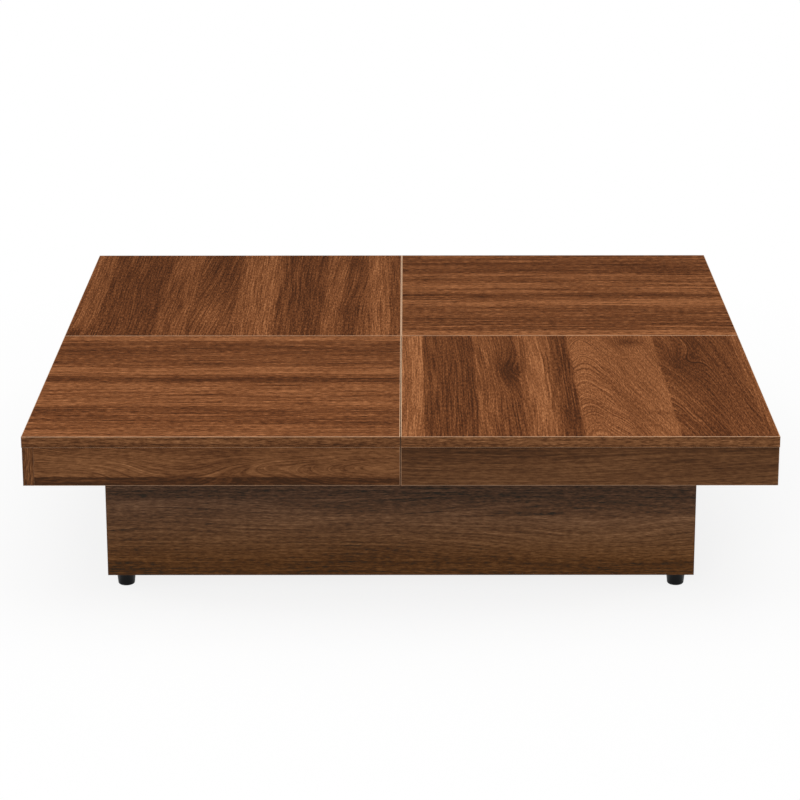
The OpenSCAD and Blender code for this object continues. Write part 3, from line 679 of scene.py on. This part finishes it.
def add_screw(bm, points, pan=False):
    """One screw: its head with a cross recess, and its shank. A pan head stands proud of its seat, and
    a flat one tapers into the wood."""
    head, way, length, radius = screw_place(points)
    turn = Vector((0, 0, 1)).rotation_difference(way).to_matrix().to_4x4()
    place = Matrix.Translation(head) @ turn
    shank = radius / 2
    arm, half, depth = radius * 0.62, radius * 0.13, radius * 0.6
    recess_taper = 0.55
    sides = 24
    if pan:
        seat = 2 * mm
        outline = [(radius * 0.82, 0.0), (radius * 0.95, 0.3 * mm), (radius, 0.9 * mm)]
        outline += [(radius, seat), (shank, seat)]
    else:
        outline = [(radius, 0.0), (shank, shank)]
    outline += [(shank, length - shank)]
    rim = bmesh.ops.create_circle(bm, segments=sides, radius=outline[0][0])["verts"]
    rim_edges = [bm.edges.get((rim[i - 1], rim[i])) for i in range(sides)]
    made, edges = list(rim), rim_edges
    for (old_r, _), (new_r, z) in zip(outline, outline[1:]):
        ring, edges = extrude_ring(bm, edges, new_r / old_r, z)
        made += ring
    end = bmesh.ops.edgeloop_fill(bm, edges=edges)["faces"]
    tip = bmesh.ops.poke(bm, faces=end)["verts"][0]
    tip.co = (0, 0, length)
    made.append(tip)
    quarter = [(arm, -half), (arm, half), (half, half)]
    cross = []
    for k in range(4):
        spin = Matrix.Rotation(k * math.pi / 2, 2)
        cross += [bm.verts.new((*(spin @ Vector(p)), 0)) for p in quarter]
    cross_edges = [bm.edges.new((cross[i - 1], cross[i])) for i in range(len(cross))]
    bmesh.ops.triangle_fill(bm, edges=cross_edges + rim_edges, use_beauty=True, use_dissolve=False)
    recess_floor, floor_edges = extrude_ring(bm, cross_edges, recess_taper, depth)
    bmesh.ops.edgeloop_fill(bm, edges=floor_edges)
    made += cross + recess_floor
    bmesh.ops.transform(bm, matrix=place, verts=made)


def screw_piece(name, node, body, pan=False):
    """All the screws of one CAD node as one piece."""
    bm = bmesh.new()
    for points in loose_parts(node):
        add_screw(bm, points, pan)
    bmesh.ops.recalc_face_normals(bm, faces=bm.faces)
    new_piece(name, bm, plated_steel, body, [node])


screw_piece("divider_countersunk_screws", "divider_screws", "plinth")
screw_piece("slide_countersunk_screws", "fixed_slide_screws", "plinth")
screw_piece("foot_pan_screws", "foot_screws", "plinth", pan=True)

# Feet: black moulded polypropylene glides, tapered, with a thin flange against the bottom board and a
# rounded, lightly scuffed lower edge. The screw sits up in a counterbore.
scuff_height = 4 * mm
grit_relief = 0.2
grit_depth = 0.1 * mm
smear_wear, even_wear = 2.0, 0.5
new_tone, smear_tone, wear_tone = 0.25, 0.25, 0.5
plastic_roughness, wear_roughness = 0.36, 0.3
plastic_shine = 0.12
foot_plastic, tree, shader = new_material("foot_plastic")
place = put(tree, "SeparateXYZ", {0: put(tree, "TexCoord").outputs["Object"]}).outputs
grit = noise(tree, place[:3], (2600.0, 2600.0, 2600.0), 1.0)
smear = noise(tree, place[:3], (140.0, 140.0, 60.0), 3.0)
scuff = put(tree, "MapRange", {0: place[2], 1: scuff_height, 2: 0.0}).outputs[0]
worn = calc(tree, "MULTIPLY", scuff, calc(tree, "MULTIPLY_ADD", smear, smear_wear, even_wear))
plastic_tone = calc(tree, "MULTIPLY_ADD", worn, wear_tone, new_tone)
plastic_tone = calc(tree, "MULTIPLY_ADD", smear, smear_tone, plastic_tone)
plastic_colours = ((0.0, srgb(4, 4, 5)), (0.4, srgb(9, 9, 10)), (1.0, srgb(40, 39, 38)))
tree.links.new(ramp(tree, plastic_tone, plastic_colours), shader.inputs["Base Color"])
plastic_wear = calc(tree, "MULTIPLY_ADD", worn, wear_roughness, plastic_roughness)
tree.links.new(plastic_wear, shader.inputs["Roughness"])
grit_bump = put(tree, "Bump", {"Height": grit, "Strength": grit_relief, "Distance": grit_depth})
tree.links.new(grit_bump.outputs[0], shader.inputs["Normal"])
shader.inputs["Specular IOR Level"].default_value = plastic_shine

flange_h = 1.6 * mm
flange_step = 0.4 * mm
foot_taper = 2 * mm
lower_round = 3 * mm
bore_r = 6 * mm
bore_h = 8 * mm
bore_edge = 0.6 * mm
screw_r = 2.1 * mm
round_degrees = range(0, 91, 15)
flat_face = 0.98
for name in ("front_left", "front_right", "back_left", "back_right"):
    node = f"foot_{name}"
    low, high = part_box(node)
    middle = (low + high) / 2
    top_r = (high.x - low.x) / 2
    low_r = top_r - foot_taper
    profile = [(screw_r, high.z), (top_r, high.z), (top_r, high.z - flange_h)]
    profile += [(top_r - flange_step, high.z - flange_h - flange_step)]
    for angle in map(math.radians, round_degrees):
        x = low_r - lower_round + lower_round * math.cos(angle)
        profile.append((x, low.z + lower_round - lower_round * math.sin(angle)))
    profile += [(bore_r + bore_edge, low.z), (bore_r, low.z + bore_edge), (bore_r, low.z + bore_h)]
    profile += [(screw_r, low.z + bore_h)]
    bm = bmesh.new()
    verts = [bm.verts.new((middle.x + r, middle.y, z)) for r, z in profile]
    edges = [bm.edges.new((verts[i - 1], verts[i])) for i in range(len(verts))]
    bmesh.ops.spin(
        bm, geom=verts + edges, cent=(middle.x, middle.y, 0), axis=(0, 0, 1), angle=2 * math.pi,
        steps=48, use_merge=True,
    )
    bmesh.ops.remove_doubles(bm, verts=bm.verts, dist=1e-6)
    bmesh.ops.recalc_face_normals(bm, faces=bm.faces)
    for face in bm.faces:
        face.smooth = abs(face.normal.z) < flat_face
    new_piece(f"glide_{name}", bm, foot_plastic, "plinth", [node])

# Slides: rolled, zinc-plated steel members, the fixed ones on the plinth's outside and the moving ones
# on the runners, with a cage of bright steel balls between them.
ball_steel = zinc("ball_steel", srgb(222, 224, 228), roughness=0.2, speckle=0.05, drawn=0.1)
for side in ("left", "right"):
    for end in ("front", "back"):
        dress(f"slide_fixed_{end}_{side}", plated_steel)
        dress(f"slide_moving_{end}_{side}", plated_steel)
        dress(f"cage_{end}_{side}", ball_steel)

# Top panels: four square boards of walnut decor. Back left and front right have the grain front to
# back, in plain veneer leaves; the others have it left to right, with long dark streaks.
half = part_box("left_panel_edge_bands")
half_w = -half[0].x
half_d = half[1].y
top_colours = walnut_colours()
dress(
    "left_back_panel",
    walnut_board(
        "walnut_back_left", top_colours, to_right, to_back, half_w, half_w,
        [
            (0, 0.57, 0.5), (36, 0.31, 0.5), (128, 0.44, 0.47), (179, 0.39, 0.36), (243, 0.58, 0.5),
            (307, 0.34, 0.5), (379, 0.44, 0.44), (446, 0.62, 0.5), (484, 0.49, 0.5),
        ],
        [(0, 0.03), (18, -0.03), (34, 0.05), (60, -0.02), (100, 0.0), (120, 0.0), (150, -0.04), (170, -0.1),
         (180, 0.0), (236, 0.0), (248, 0.05), (262, -0.03), (290, -0.06), (300, -0.06), (316, 0.0),
         (370, 0.03), (386, -0.1), (400, -0.06), (424, 0.08), (440, 0.0), (448, 0.05), (464, -0.06),
         (478, -0.04), (482, 0.08), (500, 0.04)],
        eyes=[(211, 100, 26, 110, 0, -0.2), (206, 440, 22, 140, 0, 0.12), (412, 150, 14, 40, 4, 0.08),
              (10, 12, 24, 36, 5, 0.3), (158, 420, 12, 90, 0, -0.1), (430, 440, 14, 60, 0, 0.14)],
        soft=1.8, contrast=0.88, flecks=2.35,
    ),
)
dress(
    "right_front_panel",
    walnut_board(
        "walnut_front_right", top_colours, to_right, to_back, 0.0, half_w,
        [
            (0, 0.76, 0.5), (32, 0.37, 0.52), (104, 0.49, 0.54), (168, 0.62, 0.5), (246, 0.65, 1.0, 262),
            (371, 0.41, 0.86, 402), (436, 0.45, 0.86, 402), (486, 0.58, 0.5),
        ],
        [(0, 0.0), (24, -0.04), (40, 0.0), (90, 0.02), (102, 0.06), (108, -0.08), (124, -0.06), (140, 0.04),
         (160, 0.16), (172, 0.04), (186, -0.08), (200, -0.14), (212, 0.06), (224, 0.28), (240, 0.34),
         (248, -0.04), (300, 0.0), (316, 0.04), (350, -0.04), (368, -0.06), (376, -0.04), (400, 0.02),
         (428, 0.1), (440, 0.08), (470, 0.0), (500, -0.04)],
        eyes=[(153, -186, 16, 62, 14, 0.32), (333, -36, 20, 24, 12, 0.36), (405, -140, 26, 60, 22, 0.2),
              (268, -352, 16, 60, 5, 0.08), (350, -393, 24, 10, 3, 0.16), (262, -200, 24, 70, 4, -0.04),
              (400, -340, 30, 120, 4, -0.1)],
        contrast=0.95,
    ),
)
dress(
    "left_front_panel",
    walnut_board(
        "walnut_front_left", top_colours, to_front, to_right, 0.0, half_d,
        [
            (0, 0.7, 0.5), (28, 0.4, 0.5), (98, 0.47, 0.5), (164, 0.62, 0.5), (242, 0.57, 0.52),
            (362, 0.47, 0.5), (440, 0.52, 0.52),
        ],
        [(0, 0.0), (20, -0.05), (30, -0.04), (60, 0.02), (96, 0.03), (104, -0.02), (126, 0.02), (154, 0.06),
         (164, 0.02), (180, -0.04), (198, -0.06), (212, 0.12), (228, 0.36), (240, 0.32), (248, 0.0),
         (290, -0.06), (312, 0.04), (330, -0.02), (350, -0.08), (364, -0.04), (400, 0.02), (440, 0.03),
         (460, -0.02), (480, -0.08), (500, -0.16)],
        eyes=[(348, -130, 8, 14, 4, 0.3), (66, -272, 10, 50, 3, 0.1), (222, -190, 14, 60, 3, 0.08),
              (385, -490, 22, 60, 3, 0.2), (306, -250, 14, 60, 3, 0.14), (144, -290, 12, 60, 3, 0.12)],
        contrast=1.38,
    ),
)
dress(
    "right_back_panel",
    walnut_board(
        "walnut_back_right", top_colours, to_front, to_right, half_d, half_d,
        [
            (0, 0.5, 0.5), (28, 0.41, 0.5), (126, 0.55, 0.5), (252, 0.52, 0.5), (328, 0.49, 0.52),
            (394, 0.38, 0.5), (470, 0.68, 0.5),
        ],
        [(0, 0.0), (24, 0.02), (34, -0.05), (54, 0.02), (90, 0.0), (120, -0.02), (130, -0.04), (146, -0.05),
         (166, 0.06), (184, 0.02), (206, -0.06), (244, -0.06), (254, 0.2), (266, 0.24), (278, 0.06),
         (296, -0.2), (318, -0.16), (336, 0.02), (360, 0.04), (384, -0.02), (398, 0.03), (420, 0.0),
         (450, -0.06), (470, 0.0), (486, -0.06), (500, -0.08)],
        eyes=[(100, 430, 24, 70, 3, 0.14), (144, 57, 12, 20, 5, 0.14), (268, 125, 9, 16, 4, 0.2),
              (222, 230, 12, 50, 3, 0.1), (176, 190, 12, 50, 4, 0.1), (222, 440, 16, 70, 2, -0.12)],
        contrast=1.5,
    ),
)

# Aprons: upright strips of the same board under the rim of each half, butted at the corners. The left
# front one shows arched figure above a dark streak, the right front one plain dark grain.
apron_low, apron_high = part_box("left_front_apron")
apron_height = apron_high.z - apron_low.z
arched_colours = walnut_colours(dull=0.2)
plain_colours = walnut_colours(dull=0.28)
arched = [(0, 0.44, 0.2), (41, 0.1, 0.5)]
arched_streaks = [(0, 0.05), (6, -0.02), (20, -0.04), (36, -0.04), (41, 0.0), (53, 0.0)]
arches = [(22, -6, 30, 190, 90, -0.04), (30, -425, 16, 60, 8, -0.1), (14, -360, 10, 50, 5, 0.04),
          (20, -222, 24, 44, 10, 0.16), (22, -370, 16, 50, 6, -0.08), (22, -172, 12, 26, 8, -0.1),
          (16, -140, 8, 24, 5, 0.16), (26, -112, 5, 7, 3, 0.16), (22, -45, 14, 40, 0, 0.06)]
plain = [(0, 0.3, 0.5), (22, 0.34, 0.55)]
plain_streaks = [(0, 0.12), (10, 0.04), (30, 0.0), (53, -0.04)]
apron_looks = {
    "left_front": (arched_colours, to_right, arched, arched_streaks, arches),
    "right_front": (
        plain_colours, to_right, plain, plain_streaks,
        [(30, 190, 40, 260, -16, 0.0), (11, 320, 8, 150, 4, -0.1), (4, 120, 7, 80, 2, 0.06)],
    ),
    "left_back": (plain_colours, to_right, plain, plain_streaks, [(26, -300, 14, 70, 6, -0.05)]),
    "right_back": (arched_colours, to_right, arched, arched_streaks, [(26, 200, 30, 180, 40, -0.06)]),
    "left_side": (
        plain_colours, to_back, [(0, 0.34, 0.5), (30, 0.4, 0.5)], plain_streaks, [(24, 60, 18, 120, 8, 0.04)]
    ),
    "right_side": (
        plain_colours, to_back, [(0, 0.36, 0.5), (26, 0.3, 0.5)], plain_streaks, [(24, -150, 18, 90, 8, 0.04)]
    ),
}
for name, (colours, run, leaves, streaks, eyes) in apron_looks.items():
    dress(
        f"{name}_apron",
        walnut_board(
            f"walnut_{name}_apron", colours, down, run, apron_high.z, apron_height, leaves, streaks, eyes,
            contrast=0.7 if leaves == arched else 0.56, flecks=1.6,
        ),
    )

# Edge bands of the top: strips of decor round every panel and along the aprons' lower edges and free
# ends. Their pale cores, partly painted highlight, draw the thin lines along the rim, seams and aprons' feet.
rim_looks = {
    "left": build_band_material("left_rim_edge_bands", arched_colours, pale_core_highlight, tone=0.35),
    "right": build_band_material("right_rim_edge_bands", arched_colours, pale_core_highlight, tone=0.48),
}
# Shares of the pale core at the seams and the aprons' ends and feet: they set how strong each line of pale
# core and painted highlight is.
meeting_core_highlight, open_core_highlight, apron_end_core_highlight, apron_foot_core_highlight = 0.72, 1.0, 0.2, 0.25
seam_play = 0.04 * mm
seam_reach = 10 * mm
closing = -half[1].x - seam_play


def at_seam(x):
    """Whether an edge of a panel or an apron lies along the seam between the halves."""
    return abs(x) < seam_reach


def frame_with_bands(bm, low, high, order, meets):
    """Strips round one panel: full length along its front and back edges, and between them at its sides.
    The halves all but touch along the back panels, which meet, and stand a little apart at the front."""
    left = low.x - band - (closing if meets and at_seam(low.x) else 0)
    right = high.x + band + (closing if meets and at_seam(high.x) else 0)
    for k, (y, facing) in enumerate(((low.y - band, -1), (high.y, 1))):
        shift = 0.03 * (order + k)
        add_band(bm, (left, y, low.z), (right, y + band, high.z), (1, facing), 0, usual_core, shift)
    for k, (start, end, facing) in enumerate(((left, low.x, -1), (high.x, right, 1))):
        shift = 0.03 * (order + k) + 0.2
        core = (meeting_core_highlight if meets else open_core_highlight) if at_seam(start) else usual_core
        add_band(bm, (start, low.y, low.z), (end, high.y, high.z), (0, facing), 1, core, shift)


for side, order in (("left", 0), ("right", 5)):
    look, body = rim_looks[side], f"{side}_top"
    bm = new_bands()
    for end in ("front", "back"):
        meets = end == "back"
        frame_with_bands(bm, *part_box(f"{side}_{end}_panel"), order + 3 * meets, meets)
    new_piece(f"{side}_rim_bands", bm, look, body, [f"{side}_panel_edge_bands"])

    bm = new_bands()
    all_low, all_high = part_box(f"{side}_apron_edge_bands")
    for k, name in enumerate(("front", "back", "side")):
        low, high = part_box(f"{side}_{name}_apron")
        run = 1 if name == "side" else 0
        reach_low, reach_high = low.copy(), high.copy()
        for end in (-1, 1):
            here = (low if end < 0 else high)[run]
            limit = (all_low if end < 0 else all_high)[run]
            seam = run == 0 and at_seam(here)
            if not seam and abs(here - limit) > 2 * band:
                continue
            thick = band + (closing if seam and name == "back" else 0)
            strip_low, strip_high = low.copy(), high.copy()
            strip_low[run] = here - thick if end < 0 else here
            strip_high[run] = here if end < 0 else here + thick
            add_band(bm, strip_low, strip_high, (run, end), 2, apron_end_core_highlight, 0.05 * (order + k))
            if end < 0:
                reach_low[run] = here - thick
            else:
                reach_high[run] = here + thick
        strip_low = (reach_low.x, reach_low.y, low.z - band)
        strip_high = (reach_high.x, reach_high.y, low.z)
        add_band(bm, strip_low, strip_high, (2, -1), run, apron_foot_core_highlight, 0.07 * (order + k))
    new_piece(f"{side}_skirt_bands", bm, look, body, [f"{side}_apron_edge_bands"])

# Under the top: runner boards and battens of planed pine, beech dowels at the apron corners, pressed
# steel angle brackets, and the screws that go up through them into the panels.
pine_colours = ((0.1, srgb(188, 148, 98)), (0.5, srgb(218, 184, 134)), (0.9, srgb(236, 208, 164)))
pine = pale_wood("pine", pine_colours, to_front, to_right, tone=0.6, figure=0.8)
pine_lengthwise = pale_wood("pine_lengthwise", pine_colours, to_right, to_back, tone=0.6, figure=0.2)
pine_upright = pale_wood("pine_upright", pine_colours, down, to_right, tone=0.6, figure=0.55)
for side in ("left", "right"):
    dress(f"{side}_front_runner", pine_upright)
    dress(f"{side}_back_runner", pine_upright)
    dress(f"{side}_centre_batten", pine)
    dress(f"{side}_inner_batten", pine_lengthwise)
    dress(f"{side}_apron_dowels", beech_crosswise)
    dress(f"{side}_brackets", plated_steel)
    screw_piece(f"{side}_board_countersunk_screws", f"{side}_board_screws", f"{side}_top")
    screw_piece(f"{side}_small_countersunk_screws", f"{side}_small_screws", f"{side}_top")

# Studio: a wide pale floor, a softbox overhead, soft fills in front and at the sides, and a pale room.
# The floor and the room look white to the camera, and the floor keeps the table's soft shadow. Under
# the plinth it lets the room's light through, so that the bottom board shows from below.
floor_half = 30
glow_near, glow_far, glow_least = 0.5, 1.4, 0.84
floor_material, tree, shader = new_material("studio_floor")
shader.inputs["Base Color"].default_value = srgb(250, 250, 250)
shader.inputs["Roughness"].default_value = 0.9
shader.inputs["Specular IOR Level"].default_value = 0.0
paths = put(tree, "LightPath").outputs
seen = calc(tree, "MAXIMUM", paths["Is Camera Ray"], paths["Is Transmission Ray"])
seen = calc(tree, "MAXIMUM", seen, paths["Is Glossy Ray"])
glow = put(tree, "Emission", {"Color": (1, 1, 1, 1), "Strength": 1.0})
place = put(tree, "SeparateXYZ", {0: put(tree, "TexCoord").outputs["Object"]}).outputs
flat = put(tree, "CombineXYZ", {0: place[0], 1: place[1]})
away = put(tree, "VectorMath", {0: flat.outputs[0]}, operation="LENGTH").outputs["Value"]
share = put(tree, "MapRange", {0: away, 1: glow_near, 2: glow_far, 3: glow_least, 4: 1.0}).outputs[0]
glowing = calc(tree, "MULTIPLY", seen, share)
mixed = put(tree, "MixShader", {0: glowing, 1: shader.outputs[0], 2: glow.outputs[0]})
open_below = put(tree, "BsdfTransparent")
sideways = calc(tree, "MAXIMUM", calc(tree, "ABSOLUTE", place[0]), calc(tree, "ABSOLUTE", place[1]))
under_plinth = calc(tree, "LESS_THAN", sideways, -bands_low.x)
let_in = calc(tree, "MULTIPLY", under_plinth, paths["Is Diffuse Ray"])
backs = put(tree, "NewGeometry").outputs["Backfacing"]
sides = put(tree, "MixShader", {0: calc(tree, "MAXIMUM", backs, let_in), 1: mixed.outputs[0]})
tree.links.new(open_below.outputs[0], sides.inputs[2])
tree.links.new(sides.outputs[0], tree.nodes["Material Output"].inputs["Surface"])

bm = bmesh.new()
bmesh.ops.create_grid(bm, x_segments=1, y_segments=1, size=floor_half)
floor_mesh = bpy.data.meshes.new("studio_floor")
bm.to_mesh(floor_mesh)
bm.free()
floor_mesh.materials.append(floor_material)
floor = bpy.data.objects.new("studio_floor", floor_mesh)
bpy.context.scene.collection.objects.link(floor)


def softbox(name, place, target, width, height, watts):
    """Rectangular area lamp that looks at a point."""
    lamp = bpy.data.lights.new(name, "AREA")
    lamp.shape = "RECTANGLE"
    lamp.size = width
    lamp.size_y = height
    lamp.energy = watts
    lamp_object = bpy.data.objects.new(name, lamp)
    lamp_object.location = place
    lamp_object.rotation_euler = (Vector(target) - Vector(place)).to_track_quat("-Z", "Y").to_euler()
    bpy.context.scene.collection.objects.link(lamp_object)


softbox("overhead", (0, -0.4, 2.6), (0, 0, 0), width=3.0, height=3.0, watts=35)
softbox("front_fill", (-1.0, -4.4, 2.0), (0, 0, 0.2), width=2.4, height=1.8, watts=60)
softbox("right_fill", (4.0, 0.4, 2.2), (0, 0, 0.2), width=2.0, height=1.8, watts=25)
softbox("left_fill", (-4.0, 1.4, 2.2), (0, 0, 0.2), width=2.0, height=1.8, watts=25)

room_light = 0.45
mirror_low, mirror_high, mirror_least = 0.55, 0.85, 0.05
world = bpy.data.worlds.new("studio_room")
bpy.context.scene.world = world
world.use_nodes = True
tree = world.node_tree
room = tree.nodes["Background"]
room.inputs["Color"].default_value = (1, 1, 1, 1)
paths = put(tree, "LightPath").outputs
seen = calc(tree, "MAXIMUM", paths["Is Camera Ray"], paths["Is Transmission Ray"])
upward = put(tree, "SeparateXYZ", {0: put(tree, "TexCoord").outputs["Generated"]}).outputs[2]
mirrored = put(
    tree, "MapRange", {0: upward, 1: mirror_low, 2: mirror_high, 3: mirror_least, 4: 1.0}
).outputs[0]
seen = calc(tree, "MAXIMUM", seen, calc(tree, "MULTIPLY", paths["Is Glossy Ray"], mirrored))
level = calc(tree, "MULTIPLY", paths["Is Diffuse Ray"], room_light)
tree.links.new(calc(tree, "MAXIMUM", seen, level), room.inputs["Strength"])
bpy.context.scene.view_settings.view_transform = "Standard"
